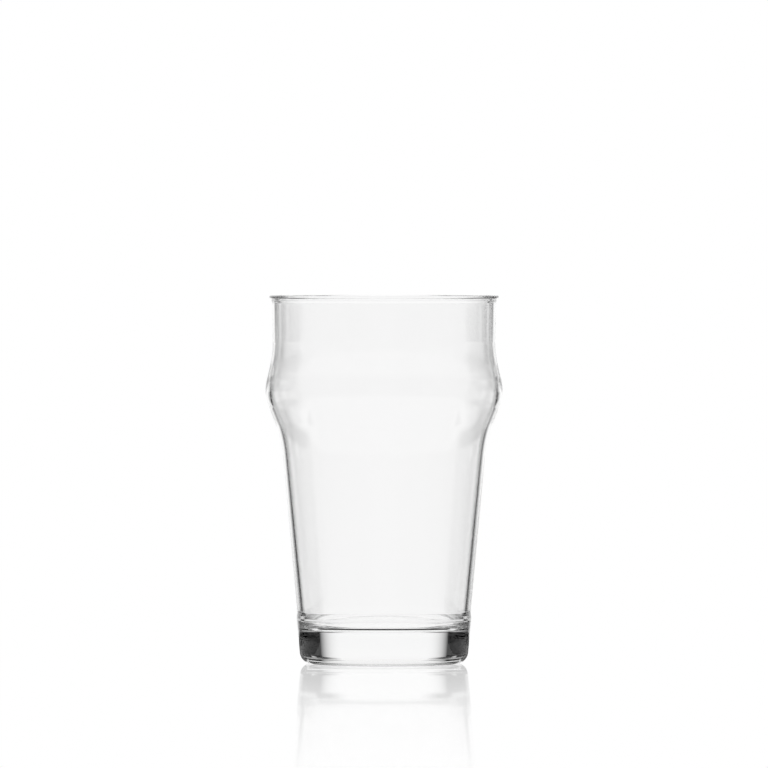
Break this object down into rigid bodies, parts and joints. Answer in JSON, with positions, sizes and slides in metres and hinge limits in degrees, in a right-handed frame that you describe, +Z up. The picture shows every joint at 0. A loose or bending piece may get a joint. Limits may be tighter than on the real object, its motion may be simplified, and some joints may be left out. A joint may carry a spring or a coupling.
{
  "type": "pint glass",
  "caption": "Clear glass tumbler with a tapered body, a rounded bulge below a short neck, a turned-out lip and a thick solid base.",
  "frame": {"origin": "centre of the resting plane, on the glass's axis", "axes": "+Z up along the axis of revolution, out of the mouth; X and Y are free, because the glass is round"},
  "size_m": [0.0918, 0.0918, 0.1425],
  "materials": {
    "clear_glass": "polished"
  },
  "bodies": {
    "root": {"base": "clear_glass", "lower_wall": "clear_glass", "bulge_underside": "clear_glass", "bulge_shoulder": "clear_glass", "neck": "clear_glass", "rim": "clear_glass"}
  },
  "joints": []
}
